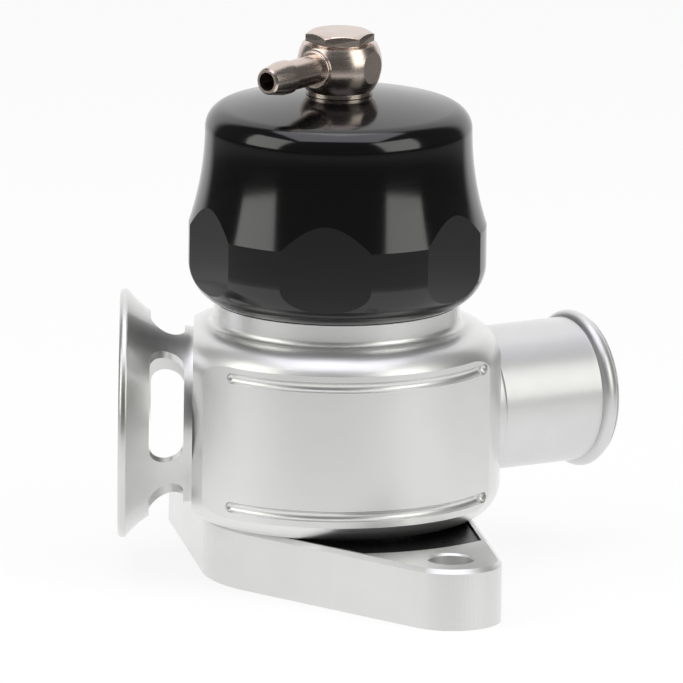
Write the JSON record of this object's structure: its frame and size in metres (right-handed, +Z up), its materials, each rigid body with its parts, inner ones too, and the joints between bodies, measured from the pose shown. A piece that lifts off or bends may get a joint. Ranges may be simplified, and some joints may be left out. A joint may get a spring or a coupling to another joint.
{
  "type": "blow off valve",
  "caption": "Blow off valve: a spring-loaded piston in a turned body on a bolted base flange, with a slotted vent trumpet, a hose spigot and a barbed vacuum fitting on its cap.",
  "frame": {"origin": "On the valve axis at the underside of the base flange, in the mouth of the inlet bore", "axes": "+Z up along the valve axis, the vent trumpet points along -X, the front lug of the flange towards -Y"},
  "size_m": [0.1177, 0.1236, 0.1295],
  "materials": {
    "satin_aluminium": "satin clear anodised, fine turned and milled grain",
    "bright_aluminium": "fine turned and clear anodised",
    "black_anodised": "gloss black anodised",
    "nickel": "bright nickel plate on brass",
    "rubber": "matt black moulded rubber",
    "spring_steel": "drawn spring wire",
    "black_steel": "black oxide on steel",
    "band_plastic": "filled guide band",
    "seat_plastic": "turned white plastic"
  },
  "bodies": {
    "housing": {"base_flange": "satin_aluminium", "seal_pad": "rubber", "inlet_o_ring": "rubber", "flange_screws": "black_steel", "base_o_ring": "rubber", "body": "satin_aluminium", "cap": "black_anodised", "cap_o_ring": "rubber", "main_spring": "spring_steel", "spring_seat": "seat_plastic", "trumpet": "bright_aluminium", "trumpet_o_ring": "rubber", "recirc_spigot": "bright_aluminium", "recirc_o_ring": "rubber", "banjo_bolt": "nickel", "banjo_fitting": "nickel", "banjo_upper_washer": "nickel", "banjo_lower_washer": "nickel"},
    "piston": {"piston": "satin_aluminium", "piston_wear_band": "band_plastic", "piston_o_ring": "rubber", "piston_face_seal": "rubber"}
  },
  "joints": [
    {"name": "piston_slide", "type": "slide", "parent": "housing", "child": "piston", "axis": [0, 0, 1], "range_m": [0, 0.014], "stiffness_N_per_m": 2500, "springref_m": -0.03, "deforming": ["main_spring"]}
  ]
}
